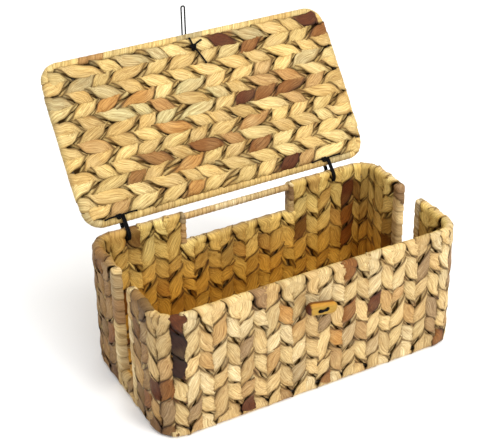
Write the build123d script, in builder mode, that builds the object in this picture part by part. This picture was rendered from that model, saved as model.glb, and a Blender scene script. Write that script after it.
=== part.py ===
from build123d import *
from math import acos, asin, atan2, cos, degrees, floor, pi, radians, sin, sqrt
import os

os.makedirs("parts", exist_ok=True)

# A woven cable box: twined plant-fibre ropes on a welded wire frame, with a tied-on lid.
# Frame: +Z up, origin on the table under the middle of the box, front towards -Y.
# All sizes are in millimetres.

# Box
body_length = 330.0
body_depth = 168.0
body_height = 136.0
rope_thickness = 11.0
corner_radius = 26.0
rope_pitch = 13.9
rope_gap = 0.2
rope_edge_radius = 3.0
panel_gap = 0.3

# Welded frame inside the weave
wire_diameter = 3.0
wire_fit = 0.05
middle_wire_count = 4
floor_wire_pitch = 28.0

# Cable slot in each end wall, open at the top
slot_width = 28.0
slot_sill_height = 20.0
post_wrap_width = 10.0

# Cable window in the back wall, under the wrapped rim wire
window_width = 118.0
window_sill_height = 103.0
window_wrap_width = 7.0
rim_wrap_diameter = 7.0

# Lid, shown open
lid_length = 324.0
lid_depth = 169.0
lid_open_angle = 127.0
lid_wrap_diameter = 8.0
lid_wire_corner_radius = 16.0
lid_rope_pitch = 12.9
lid_wire_pitch = 28.3
hinge_behind_wall = 4.0
hinge_above_rim = 6.0

# Cord ties that hinge the lid
tie_cord_diameter = 2.2
tie_turn_pitch = 2.4
tie_left_x = -122.0
tie_right_x = 113.0
tie_knot_radius = 1.9
tie_tail_length = 14.0
soft_gap = 0.3

# Closing loop and its knot
thread_diameter = 1.6
loop_x = 1.5
loop_leg_spacing = 3.8
loop_length = 33.0
loop_knot_radius = 2.2
loop_knot_x = 1.5
loop_knot_inset = 10.0
loop_wrap_angle = 195.0
loop_end_x = 13.0
loop_end_rise = 5.0
loop_end_drop = 19.0

# Wooden toggle on the front wall
toggle_x = -2.0
toggle_tilt = -12.0
toggle_length = 33.0
toggle_width = 12.5
toggle_thickness = 9.0
toggle_edge_radius = 3.5
toggle_hole_spacing = 8.0
toggle_hole_diameter = 4.2
toggle_centre_height = 102.0
toggle_shank_gap = 2.4
anchor_diameter = 2.4
anchor_knot_radius = 2.5

# ------------------------------------------------------------------ derived sizes

half_rope = rope_thickness / 2
wire_radius = wire_diameter / 2
wire_hole_radius = wire_radius + wire_fit
wall_x = body_length / 2 - half_rope
wall_y = body_depth / 2 - half_rope
corner_wall_radius = corner_radius - half_rope
corner_x = body_length / 2 - corner_radius
corner_y = body_depth / 2 - corner_radius

base_wire_height = half_rope
rim_wire_height = body_height - half_rope
wire_spacing = (rim_wire_height - base_wire_height) / (middle_wire_count + 1)
middle_heights = [base_wire_height + wire_spacing * (i + 1) for i in range(middle_wire_count)]
wall_heights = [base_wire_height] + middle_heights + [rim_wire_height]
slot_sill_wire_height = slot_sill_height - half_rope
window_sill_wire_height = window_sill_height - half_rope
below_window_heights = [z for z in middle_heights if z < window_sill_wire_height - wire_diameter]
beside_window_heights = [z for z in middle_heights if z not in below_window_heights]

post_y = slot_width / 2 + post_wrap_width / 2
slot_panel_y = slot_width / 2 + post_wrap_width + panel_gap
window_post_x = window_width / 2 + window_wrap_width / 2
window_panel_x = window_width / 2 + window_wrap_width + panel_gap


def rope_count(length):
    """How many ropes of about the usual width fill a wall of this length."""
    return max(1, round(length / rope_pitch))


def spread(length, count):
    """Start positions of count equal ropes along a wall centred on zero."""
    return [-length / 2 + length / count * i for i in range(count)]


def make_rope(width, length, wire_heights):
    """A straight rope standing on XY: width along +X, centred in Y, with a hole for each wire."""
    edge = min(rope_edge_radius, width / 4, half_rope * 0.8)
    with BuildPart() as rope:
        with BuildSketch(Plane.YZ.offset(rope_gap / 2)):
            with Locations((0, length / 2)):
                SlotOverall(length, rope_thickness, rotation=90)
            with Locations(*[(0, z) for z in wire_heights]):
                Circle(wire_hole_radius, mode=Mode.SUBTRACT)
        extrude(amount=width - rope_gap)
        ends = rope.faces().filter_by(Axis.X)
        fillet([edge_line for end in ends for edge_line in end.outer_wire().edges()], edge)
    return rope.part


def make_corner_rope(sector):
    """A rope of a rounded corner: a sector of the corner, turned about the Z axis."""
    inner_width = (corner_radius - rope_thickness) * radians(sector)
    edge = min(rope_edge_radius, inner_width / 2 - rope_gap)
    gap_angle = degrees(rope_gap / corner_wall_radius)
    with BuildPart() as rope:
        with BuildSketch(Plane.XZ):
            with Locations((corner_wall_radius, body_height / 2)):
                SlotOverall(body_height, rope_thickness, rotation=90)
            with Locations(*[(corner_wall_radius, z) for z in wall_heights]):
                Circle(wire_hole_radius, mode=Mode.SUBTRACT)
        revolve(axis=Axis.Z, revolution_arc=sector - gap_angle)
        ends = rope.faces().filter_by(GeomType.PLANE)
        fillet([edge_line for end in ends for edge_line in end.outer_wire().edges()], edge)
    return rope.part


def make_wire(points, radius, bend_radius=0.0, closed=False):
    """A round wire through the points, its corners bent to one radius."""
    with BuildPart() as wire:
        with BuildLine() as route:
            if len(points) == 2:
                Line(*points)
            else:
                FilletPolyline(*points, radius=bend_radius, close=closed)
        with BuildSketch(Plane(origin=route.line @ 0, z_dir=route.line % 0)):
            Circle(radius)
        sweep(path=route.line)
    return wire.part


def front_route(height, inset):
    """U-shaped route through the front wall, ending inset before the front slot posts."""
    end_y = -post_y - inset
    return [
        (-wall_x, end_y, height),
        (-wall_x, -wall_y, height),
        (wall_x, -wall_y, height),
        (wall_x, end_y, height),
    ]


def rear_route(height, inset):
    """The same route through the back wall."""
    return [(x, -y, z) for x, y, z in front_route(height, inset)]


def beside_window_route(height, side):
    """Route from a rear slot post round the back corner to the window post, on one side."""
    return [
        (side * wall_x, post_y + wire_radius, height),
        (side * wall_x, wall_y, height),
        (side * (window_post_x + wire_radius), wall_y, height),
    ]


# ------------------------------------------------------------------ frame of the box

base_route = [(-wall_x, -wall_y, base_wire_height), (wall_x, -wall_y, base_wire_height),
              (wall_x, wall_y, base_wire_height), (-wall_x, wall_y, base_wire_height)]

with BuildPart() as base_ring_wire:
    add(make_wire(base_route, wire_radius, corner_wall_radius, closed=True))

floor_wire_reach = corner_x - wire_diameter
floor_wire_steps = max(2, round(2 * floor_wire_reach / floor_wire_pitch))
floor_wire_xs = [-floor_wire_reach + 2 * floor_wire_reach / floor_wire_steps * i
                 for i in range(floor_wire_steps + 1)]
floor_wire_length = 2 * (wall_y - wire_radius)

with BuildPart(Plane.XY.offset(base_wire_height)) as floor_cross_wires:
    with Locations(*[(x, 0) for x in floor_wire_xs]):
        Cylinder(wire_radius, floor_wire_length, rotation=(90, 0, 0))

with BuildPart() as front_rim_wire:
    add(make_wire(front_route(rim_wire_height, -wire_radius), wire_radius, corner_wall_radius))

with BuildPart() as rear_rim_wire:
    add(make_wire(rear_route(rim_wire_height, -wire_radius), wire_radius, corner_wall_radius))

with BuildPart() as front_wall_wires:
    for height in middle_heights:
        add(make_wire(front_route(height, wire_radius), wire_radius, corner_wall_radius))

with BuildPart() as rear_wall_wires:
    for height in below_window_heights:
        add(make_wire(rear_route(height, wire_radius), wire_radius, corner_wall_radius))
    for height in beside_window_heights:
        for side in (-1, 1):
            add(make_wire(beside_window_route(height, side), wire_radius, corner_wall_radius))

slot_posts = [(x, y) for x in (-wall_x, wall_x) for y in (-post_y, post_y)]
post_bottom = base_wire_height + wire_radius
post_length = rim_wire_height - base_wire_height - wire_diameter

with BuildPart(Plane.XY.offset(post_bottom)) as slot_post_wires:
    with Locations(*slot_posts):
        Cylinder(wire_radius, post_length, align=(Align.CENTER, Align.CENTER, Align.MIN))

with BuildPart(Plane.XY.offset(slot_sill_wire_height)) as slot_sill_wires:
    with Locations((-wall_x, 0), (wall_x, 0)):
        Cylinder(wire_radius, 2 * post_y - wire_diameter, rotation=(90, 0, 0))

window_post_bottom = below_window_heights[-1] + wire_radius
window_post_length = rim_wire_height - wire_radius - window_post_bottom

with BuildPart(Plane((0, wall_y, window_post_bottom))) as window_post_wires:
    with Locations((-window_post_x, 0), (window_post_x, 0)):
        Cylinder(wire_radius, window_post_length, align=(Align.CENTER, Align.CENTER, Align.MIN))

with BuildPart(Plane((0, wall_y, window_sill_wire_height))) as window_sill_wire:
    Cylinder(wire_radius, 2 * window_post_x - wire_diameter, rotation=(0, 90, 0))

# ------------------------------------------------------------------ hinge axis and ties

hinge_y = body_depth / 2 + hinge_behind_wall
hinge_z = body_height + hinge_above_rim
open_angle = radians(lid_open_angle)
lid_plane = Plane(
    origin=(0, hinge_y, hinge_z),
    x_dir=(1, 0, 0),
    z_dir=(0, -sin(open_angle), -cos(open_angle)),
)
lid_wrap_radius = lid_wrap_diameter / 2
tie_cord_radius = tie_cord_diameter / 2
thread_radius = thread_diameter / 2
tie_lid_radius = lid_wrap_radius + soft_gap + tie_cord_radius
tie_rim_radius = half_rope + soft_gap + tie_cord_radius
tie_relief_radius = tie_lid_radius + tie_cord_radius + soft_gap + 2 * tie_knot_radius
tie_knot_offset = tie_turn_pitch / 2 + tie_cord_radius + soft_gap + tie_knot_radius
tie_relief_width = 2 * (tie_knot_offset + tie_knot_radius + soft_gap)
tie_turns_width = tie_turn_pitch + tie_cord_diameter + 2 * soft_gap

# The front run of a tie, which the shut lid lies against, and how far out it leaves the lid
tie_span_y = wall_y - hinge_y
tie_span_z = rim_wire_height - hinge_z
tie_span = sqrt(tie_span_y**2 + tie_span_z**2)
tie_run_slope = atan2(-tie_span_z, -tie_span_y) - asin((tie_rim_radius - tie_lid_radius) / tie_span)
tie_run_offset = tie_lid_radius + tie_cord_radius + soft_gap
tie_run_reach = (half_rope + tie_run_offset * cos(tie_run_slope)) / sin(tie_run_slope)
tie_swing_radius = sqrt(tie_run_offset**2 + tie_run_reach**2) + soft_gap


def make_tie_turn(x, cord_radius):
    """One turn of cord round the rim rope and the lid's rear edge, like a belt on two pulleys."""
    heading = degrees(atan2(tie_span_z, tie_span_y))
    spread_angle = degrees(acos((tie_lid_radius - tie_rim_radius) / tie_span))
    with BuildPart() as turn:
        with BuildLine(Plane.YZ.offset(x)) as route:
            over_lid = CenterArc((hinge_y, hinge_z), tie_lid_radius,
                                 heading + spread_angle, 360 - 2 * spread_angle)
            round_rim = CenterArc((wall_y, rim_wire_height), tie_rim_radius,
                                  heading - spread_angle, 2 * spread_angle)
            Line(over_lid @ 1, round_rim @ 0)
            Line(round_rim @ 1, over_lid @ 0)
        with BuildSketch(Plane(origin=over_lid @ 0, z_dir=over_lid % 0)):
            Circle(cord_radius)
        sweep(path=route.wire())
    return turn.part


def tie_turn_xs(x):
    return (x - tie_turn_pitch / 2, x + tie_turn_pitch / 2)


with BuildPart() as hinge_tie_left:
    for x in tie_turn_xs(tie_left_x):
        add(make_tie_turn(x, tie_cord_radius))

with BuildPart() as hinge_tie_right:
    for x in tie_turn_xs(tie_right_x):
        add(make_tie_turn(x, tie_cord_radius))

tie_knot_u = lid_wrap_radius + wire_fit
tie_knot_n = half_rope + wire_fit


def tail_centre(x, side):
    """Middle of a knot's free end, left or right of the turns of a tie."""
    near_end = tie_knot_offset if side < 0 else tie_turn_pitch / 2 + tie_cord_radius + soft_gap
    return (x + side * (near_end + tie_tail_length / 2), tie_knot_u, tie_knot_n)


def knot_centre(x):
    return (x - tie_knot_offset, tie_knot_u, tie_knot_n)


with BuildPart(lid_plane) as tie_knot_left:
    with Locations(knot_centre(tie_left_x)):
        Sphere(tie_knot_radius)
    with Locations(tail_centre(tie_left_x, -1), tail_centre(tie_left_x, 1)):
        Cylinder(thread_radius, tie_tail_length, rotation=(0, 90, 0))

with BuildPart(lid_plane) as tie_knot_right:
    with Locations(knot_centre(tie_right_x)):
        Sphere(tie_knot_radius)
    with Locations(tail_centre(tie_right_x, -1), tail_centre(tie_right_x, 1)):
        Cylinder(thread_radius, tie_tail_length, rotation=(0, 90, 0))


def tie_room(x):
    """Space round a tie, cut from the ropes that it passes through."""
    with BuildPart() as room:
        for turn_x in tie_turn_xs(x):
            add(make_tie_turn(turn_x, tie_cord_radius + soft_gap))
        with Locations((x, hinge_y, hinge_z)):
            Cylinder(tie_relief_radius, tie_relief_width, rotation=(0, 90, 0))
    return room.part


tie_rooms = [tie_room(tie_left_x), tie_room(tie_right_x)]

with BuildPart(lid_plane) as tie_swing_room:
    with Locations((tie_left_x, 0, 0), (tie_right_x, 0, 0)):
        Cylinder(tie_swing_radius, tie_turns_width, arc_size=90, rotation=(0, -90, 0),
                 align=(Align.MIN, Align.MIN, Align.CENTER))

# ------------------------------------------------------------------ woven walls

front_length = 2 * corner_x
front_count = 2 * rope_count(front_length / 2)
front_rope = make_rope(front_length / front_count, body_height, wall_heights)

with BuildPart(Plane((0, -wall_y, 0))) as front_weave:
    with Locations(*[(x, 0) for x in spread(front_length, front_count)]):
        add(front_rope)
    with Locations(*[(x, rope_thickness / 4, base_wire_height) for x in floor_wire_xs]):
        Cylinder(wire_hole_radius, half_rope, rotation=(90, 0, 0), mode=Mode.SUBTRACT)
    with Locations((toggle_x, 0, toggle_centre_height)):
        Cylinder(anchor_diameter / 2 + wire_fit, rope_thickness, rotation=(90, 0, 0),
                 mode=Mode.SUBTRACT)

corner_count = max(2, round(pi / 2 * corner_radius / rope_pitch))
corner_rope = make_corner_rope(90 / corner_count)

with BuildPart(Plane((-corner_x, -corner_y, 0))) as front_left_corner_weave:
    with PolarLocations(0, corner_count, start_angle=180, angular_range=90):
        add(corner_rope)

with BuildPart(Plane((corner_x, -corner_y, 0))) as front_right_corner_weave:
    with PolarLocations(0, corner_count, start_angle=270, angular_range=90):
        add(corner_rope)

with BuildPart(Plane((corner_x, corner_y, 0))) as back_right_corner_weave:
    with PolarLocations(0, corner_count, start_angle=0, angular_range=90):
        add(corner_rope)

with BuildPart(Plane((-corner_x, corner_y, 0))) as back_left_corner_weave:
    with PolarLocations(0, corner_count, start_angle=90, angular_range=90):
        add(corner_rope)

end_length = corner_y - slot_panel_y
end_count = rope_count(end_length)
end_rope = make_rope(end_length / end_count, body_height, wall_heights)
end_middle_y = (corner_y + slot_panel_y) / 2
end_places = [(x, 0) for x in spread(end_length, end_count)]

with BuildPart(Plane((-wall_x, -end_middle_y, 0), x_dir=(0, 1, 0))) as left_front_weave:
    with Locations(*end_places):
        add(end_rope)

with BuildPart(Plane((-wall_x, end_middle_y, 0), x_dir=(0, 1, 0))) as left_rear_weave:
    with Locations(*end_places):
        add(end_rope)

with BuildPart(Plane((wall_x, -end_middle_y, 0), x_dir=(0, 1, 0))) as right_front_weave:
    with Locations(*end_places):
        add(end_rope)

with BuildPart(Plane((wall_x, end_middle_y, 0), x_dir=(0, 1, 0))) as right_rear_weave:
    with Locations(*end_places):
        add(end_rope)

sill_length = slot_width - 2 * panel_gap
sill_count = rope_count(sill_length)
sill_rope = make_rope(sill_length / sill_count, slot_sill_height,
                      [base_wire_height, slot_sill_wire_height])
sill_places = [(x, 0) for x in spread(sill_length, sill_count)]

with BuildPart(Plane((-wall_x, 0, 0), x_dir=(0, 1, 0))) as left_slot_sill_weave:
    with Locations(*sill_places):
        add(sill_rope)

with BuildPart(Plane((wall_x, 0, 0), x_dir=(0, 1, 0))) as right_slot_sill_weave:
    with Locations(*sill_places):
        add(sill_rope)

back_side_length = corner_x - window_panel_x
back_side_count = rope_count(back_side_length)
back_rope = make_rope(back_side_length / back_side_count, body_height, wall_heights)
back_middle_x = (corner_x + window_panel_x) / 2
back_places = [(x, 0) for x in spread(back_side_length, back_side_count)]
back_wire_places = [(x, wall_y - rope_thickness / 4, base_wire_height) for x in floor_wire_xs]

with BuildPart() as back_left_weave:
    with Locations(*[(x - back_middle_x, wall_y) for x, y in back_places]):
        add(back_rope)
    with Locations(*back_wire_places):
        Cylinder(wire_hole_radius, half_rope, rotation=(90, 0, 0), mode=Mode.SUBTRACT)
    add(tie_rooms[0], mode=Mode.SUBTRACT)

with BuildPart() as back_right_weave:
    with Locations(*[(x + back_middle_x, wall_y) for x, y in back_places]):
        add(back_rope)
    with Locations(*back_wire_places):
        Cylinder(wire_hole_radius, half_rope, rotation=(90, 0, 0), mode=Mode.SUBTRACT)
    add(tie_rooms[1], mode=Mode.SUBTRACT)

back_centre_length = 2 * (window_panel_x - panel_gap)
back_centre_count = rope_count(back_centre_length)
window_rope = make_rope(back_centre_length / back_centre_count, window_sill_height,
                        [base_wire_height] + below_window_heights + [window_sill_wire_height])

with BuildPart() as back_centre_weave:
    with Locations(*[(x, wall_y) for x in spread(back_centre_length, back_centre_count)]):
        add(window_rope)
    with Locations(*back_wire_places):
        Cylinder(wire_hole_radius, half_rope, rotation=(90, 0, 0), mode=Mode.SUBTRACT)
    with Locations((-window_post_x, wall_y, window_post_bottom),
                   (window_post_x, wall_y, window_post_bottom)):
        Cylinder(wire_hole_radius, body_height, align=(Align.CENTER, Align.CENTER, Align.MIN),
                 mode=Mode.SUBTRACT)

# ------------------------------------------------------------------ woven floor

floor_length = body_length - 2 * (rope_thickness + panel_gap)
floor_depth = body_depth - 2 * (rope_thickness + panel_gap)
floor_corner_radius = corner_radius - rope_thickness - panel_gap
floor_rope_count = 2 * floor(floor_depth / rope_pitch / 2) + 1
floor_wire_places = [floor_length / 2 + x for x in floor_wire_xs]
floor_rope = make_rope(floor_depth / floor_rope_count, floor_length, floor_wire_places)
floor_side_plane = Plane(
    origin=(-floor_length / 2, 0, half_rope), x_dir=(0, 1, 0), z_dir=(1, 0, 0)
)

with BuildPart() as floor_outline:
    with BuildSketch():
        RectangleRounded(floor_length, floor_depth, floor_corner_radius)
    extrude(amount=rope_thickness)

with BuildPart(floor_side_plane) as floor_ropes:
    with Locations(*[(y, 0) for y in spread(floor_depth, floor_rope_count)]):
        add(floor_rope)

with BuildPart() as floor_weave:
    add(floor_ropes.part)
    add(floor_outline.part, mode=Mode.INTERSECT)

# ------------------------------------------------------------------ wrapped posts and rim

with BuildPart() as post_wrap:
    add(make_rope(post_wrap_width, body_height, [base_wire_height]))
    with Locations((post_wrap_width / 2, 0, post_bottom)):
        Cylinder(wire_hole_radius, post_length + wire_diameter,
                 align=(Align.CENTER, Align.CENTER, Align.MIN), mode=Mode.SUBTRACT)
    with Locations(*[(0, 0, z) for z in middle_heights + [rim_wire_height]]):
        Cylinder(wire_hole_radius, post_wrap_width / 2 + wire_radius, rotation=(0, 90, 0),
                 align=(Align.CENTER, Align.CENTER, Align.MIN), mode=Mode.SUBTRACT)
    with Locations((post_wrap_width, 0, slot_sill_wire_height)):
        Cylinder(wire_hole_radius, post_wrap_width / 2, rotation=(0, -90, 0),
                 align=(Align.CENTER, Align.CENTER, Align.MIN), mode=Mode.SUBTRACT)

wrap_y = slot_width / 2 + post_wrap_width

with BuildPart(Plane((-wall_x, -wrap_y, 0), x_dir=(0, 1, 0))) as left_front_post_wrap:
    add(post_wrap.part)

with BuildPart(Plane((-wall_x, wrap_y, 0), x_dir=(0, -1, 0))) as left_rear_post_wrap:
    add(post_wrap.part)

with BuildPart(Plane((wall_x, -wrap_y, 0), x_dir=(0, 1, 0))) as right_front_post_wrap:
    add(post_wrap.part)

with BuildPart(Plane((wall_x, wrap_y, 0), x_dir=(0, -1, 0))) as right_rear_post_wrap:
    add(post_wrap.part)

window_wrap_base = window_sill_height + panel_gap
window_wrap_length = body_height - window_wrap_base
window_wrap_x = window_width / 2 + window_wrap_width
window_wrap_edge = min(rope_edge_radius, 0.4 * window_wrap_width)

with BuildPart() as window_wrap:
    with BuildSketch():
        with Locations((window_wrap_width / 2, 0)):
            RectangleRounded(window_wrap_width, rope_thickness, window_wrap_edge)
    extrude(amount=window_wrap_length)
    fillet(window_wrap.faces().sort_by(Axis.Z)[-1].edges(), window_wrap_edge / 2)
    with Locations((window_wrap_width / 2, 0, 0)):
        Cylinder(wire_hole_radius, window_wrap_length - half_rope,
                 align=(Align.CENTER, Align.CENTER, Align.MIN), mode=Mode.SUBTRACT)
    with Locations((0, 0, rim_wire_height - window_wrap_base)):
        Cylinder(wire_hole_radius, window_wrap_width, rotation=(0, 90, 0),
                 align=(Align.CENTER, Align.CENTER, Align.MIN), mode=Mode.SUBTRACT)
    with Locations(*[(0, 0, z - window_wrap_base) for z in beside_window_heights]):
        Cylinder(wire_hole_radius, window_wrap_width / 2, rotation=(0, 90, 0),
                 align=(Align.CENTER, Align.CENTER, Align.MIN), mode=Mode.SUBTRACT)

with BuildPart(Plane((-window_wrap_x, wall_y, window_wrap_base))) as window_wrap_left:
    add(window_wrap.part)

with BuildPart(
    Plane((window_wrap_x, wall_y, window_wrap_base), x_dir=(-1, 0, 0))
) as window_wrap_right:
    add(window_wrap.part)

with BuildPart(Plane((0, wall_y, rim_wire_height))) as window_rim_wrap:
    Cylinder(rim_wrap_diameter / 2, window_width - 2 * panel_gap, rotation=(0, 90, 0))
    Cylinder(wire_hole_radius, window_width, rotation=(0, 90, 0), mode=Mode.SUBTRACT)

# ------------------------------------------------------------------ lid

lid_span = lid_depth - lid_wrap_diameter
lid_wire_x = lid_length / 2 - half_rope
lid_ring_route = [(-lid_wire_x, 0, 0), (lid_wire_x, 0, 0),
                  (lid_wire_x, lid_span, 0), (-lid_wire_x, lid_span, 0)]
lid_wire_steps = max(2, round(2 * lid_wire_x / lid_wire_pitch))
lid_wire_xs = [-lid_wire_x + 2 * lid_wire_x / lid_wire_steps * i for i in range(lid_wire_steps + 1)]
lid_cross_xs = lid_wire_xs[1:-1]

with BuildPart(lid_plane) as lid_ring_wire:
    add(make_wire(lid_ring_route, wire_radius, lid_wire_corner_radius, closed=True))

with BuildPart(lid_plane) as lid_cross_wires:
    with Locations(*[(x, lid_span / 2, 0) for x in lid_cross_xs]):
        Cylinder(wire_radius, lid_span - wire_diameter, rotation=(90, 0, 0))


def make_edge_tube(y, side, radius):
    """Round tube along one long edge of the lid, from one end bend to the other."""
    side_y = y - side * lid_wire_corner_radius
    bend_x = lid_wire_x - lid_wire_corner_radius
    with BuildPart() as tube:
        with BuildLine() as route:
            near_bend = CenterArc((-bend_x, side_y), lid_wire_corner_radius, 180, -side * 90)
            Line((-bend_x, y), (bend_x, y))
            CenterArc((bend_x, side_y), lid_wire_corner_radius, side * 90, -side * 90)
        with BuildSketch(Plane(origin=near_bend @ 0, z_dir=near_bend % 0)):
            Circle(radius)
        sweep(path=route.wire())
    return tube.part


loop_pivot_y = hinge_y - lid_span * cos(open_angle)
loop_pivot_z = hinge_z + lid_span * sin(open_angle)
loop_wrap_radius = lid_wrap_radius + soft_gap + thread_radius
loop_room_radius = loop_wrap_radius + thread_radius + soft_gap
loop_swing_radius = sqrt(loop_room_radius**2 + half_rope**2)
loop_room_width = loop_leg_spacing + thread_diameter + 2 * soft_gap

lid_weave_length = lid_span - lid_wrap_diameter - 2 * wire_fit
lid_rope_count = rope_count(lid_weave_length * rope_pitch / lid_rope_pitch)
lid_rope_wires = [lid_length / 2 + x for x in lid_wire_xs]
lid_rope = make_rope(lid_weave_length / lid_rope_count, lid_length, lid_rope_wires)
lid_side_plane = Plane(
    origin=lid_plane.from_local_coords((-lid_length / 2, lid_span / 2, 0)),
    x_dir=lid_plane.y_dir,
    z_dir=lid_plane.x_dir,
)

with BuildPart(lid_side_plane) as lid_ropes:
    with Locations(*[(y, 0) for y in spread(lid_weave_length, lid_rope_count)]):
        add(lid_rope)

with BuildPart(lid_plane) as lid_edge_room:
    add(make_edge_tube(lid_span, 1, lid_wrap_radius + wire_fit))
    add(make_edge_tube(0, -1, lid_wrap_radius + wire_fit))
    with Locations((loop_x, lid_span, 0)):
        Cylinder(loop_swing_radius, loop_room_width, rotation=(0, 90, 0))

with BuildPart() as lid_weave:
    add(lid_ropes.part)
    add(lid_edge_room.part, mode=Mode.SUBTRACT)
    for room in tie_rooms + [tie_swing_room.part]:
        add(room, mode=Mode.SUBTRACT)

with BuildPart(lid_plane) as lid_wire_room:
    add(make_wire(lid_ring_route, wire_hole_radius, lid_wire_corner_radius, closed=True))
    with Locations(*[(x, lid_span / 2, 0) for x in lid_cross_xs]):
        Cylinder(wire_hole_radius, lid_span - wire_diameter, rotation=(90, 0, 0))

with BuildPart(lid_plane) as lid_front_wrap_form:
    add(make_edge_tube(lid_span, 1, lid_wrap_radius))

with BuildPart() as lid_front_wrap:
    add(lid_front_wrap_form.part)
    add(lid_wire_room.part, mode=Mode.SUBTRACT)

with BuildPart(lid_plane) as lid_rear_wrap_form:
    add(make_edge_tube(0, -1, lid_wrap_radius))

with BuildPart() as lid_rear_wrap:
    add(lid_rear_wrap_form.part)
    add(lid_wire_room.part, mode=Mode.SUBTRACT)

# ------------------------------------------------------------------ closing loop

loop_leg_y = loop_pivot_y + loop_wrap_radius
loop_tip_z = loop_pivot_z + loop_length - loop_leg_spacing / 2
loop_left_x = loop_x - loop_leg_spacing / 2
loop_right_x = loop_x + loop_leg_spacing / 2

with BuildLine(Plane.YZ.offset(loop_left_x)) as loop_left_leg:
    CenterArc((loop_pivot_y, loop_pivot_z), loop_wrap_radius, -loop_wrap_angle, loop_wrap_angle)
    Line((loop_leg_y, loop_pivot_z), (loop_leg_y, loop_tip_z))

with BuildLine(Plane.YZ.offset(loop_right_x)) as loop_right_leg:
    Line((loop_leg_y, loop_tip_z), (loop_leg_y, loop_pivot_z))
    CenterArc((loop_pivot_y, loop_pivot_z), loop_wrap_radius, 0, -loop_wrap_angle)

with BuildLine() as loop_tip:
    ThreePointArc(
        (loop_left_x, loop_leg_y, loop_tip_z),
        (loop_x, loop_leg_y, loop_tip_z + loop_leg_spacing / 2),
        (loop_right_x, loop_leg_y, loop_tip_z),
    )

loop_route = Wire(loop_left_leg.edges() + loop_tip.edges() + loop_right_leg.edges())

with BuildPart() as closing_loop:
    with BuildSketch(Plane(origin=loop_route @ 0, z_dir=loop_route % 0)):
        Circle(thread_radius)
    sweep(path=loop_route)

print("closing loop: length", round(loop_route.length, 1), "bend radii",
      round(loop_wrap_radius, 2), loop_leg_spacing / 2)

# The knot lies on the lid's inner face; its two free ends and the lead to the loop join it.
loop_knot_y = lid_span - loop_knot_inset - loop_room_radius + lid_wrap_radius
thread_lie = half_rope + wire_fit + thread_radius
loop_knot_place = (loop_x + loop_knot_x, loop_knot_y, half_rope + wire_fit + loop_knot_radius)
loop_knot_ends = [
    (loop_end_x, loop_knot_y + loop_end_rise, thread_lie),
    (loop_end_x, loop_knot_y - loop_end_drop, thread_lie),
    (loop_x, lid_span - thread_diameter, loop_room_radius + thread_radius),
]

with BuildPart(lid_plane) as loop_knot:
    with Locations(loop_knot_place):
        Sphere(loop_knot_radius)
    for end_place in loop_knot_ends:
        add(make_wire([loop_knot_place, end_place], thread_radius))

# ------------------------------------------------------------------ toggle

toggle_back_y = -body_depth / 2 - toggle_shank_gap
thread_left_x = toggle_x - toggle_hole_spacing / 2
thread_right_x = toggle_x + toggle_hole_spacing / 2
toggle_plane = Plane(origin=(toggle_x, toggle_back_y, toggle_centre_height), x_dir=(1, 0, 0),
                     z_dir=(0, -1, 0))

with BuildPart(toggle_plane) as toggle:
    with BuildSketch(toggle_plane):
        SlotOverall(toggle_length, toggle_width, rotation=toggle_tilt)
    extrude(amount=toggle_thickness)
    fillet(toggle.faces().filter_by(Axis.Y).edges(), toggle_edge_radius)
    with Locations((-toggle_hole_spacing / 2, 0, 0), (toggle_hole_spacing / 2, 0, 0)):
        Cylinder(toggle_hole_diameter / 2, toggle_thickness,
                 align=(Align.CENTER, Align.CENTER, Align.MIN), mode=Mode.SUBTRACT)

thread_front_y = toggle_back_y - toggle_thickness - thread_radius - wire_fit
thread_back_y = -body_depth / 2 - thread_radius - soft_gap
toggle_thread_route = [
    (thread_left_x, thread_front_y, toggle_centre_height),
    (thread_right_x, thread_front_y, toggle_centre_height),
    (thread_right_x, thread_back_y, toggle_centre_height),
    (thread_left_x, thread_back_y, toggle_centre_height),
]

with BuildPart() as toggle_thread:
    add(make_wire(toggle_thread_route, thread_radius, toggle_hole_diameter / 2, closed=True))

anchor_front_y = thread_back_y + thread_radius + wire_fit
anchor_back_y = -body_depth / 2 + rope_thickness + anchor_knot_radius + wire_fit

with BuildPart(Plane((toggle_x, anchor_front_y, toggle_centre_height))) as toggle_anchor:
    Cylinder(anchor_diameter / 2, anchor_back_y - anchor_front_y, rotation=(-90, 0, 0),
             align=(Align.CENTER, Align.CENTER, Align.MIN))
    with Locations((0, anchor_back_y - anchor_front_y, 0)):
        Sphere(anchor_knot_radius)

# ------------------------------------------------------------------ export

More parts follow.
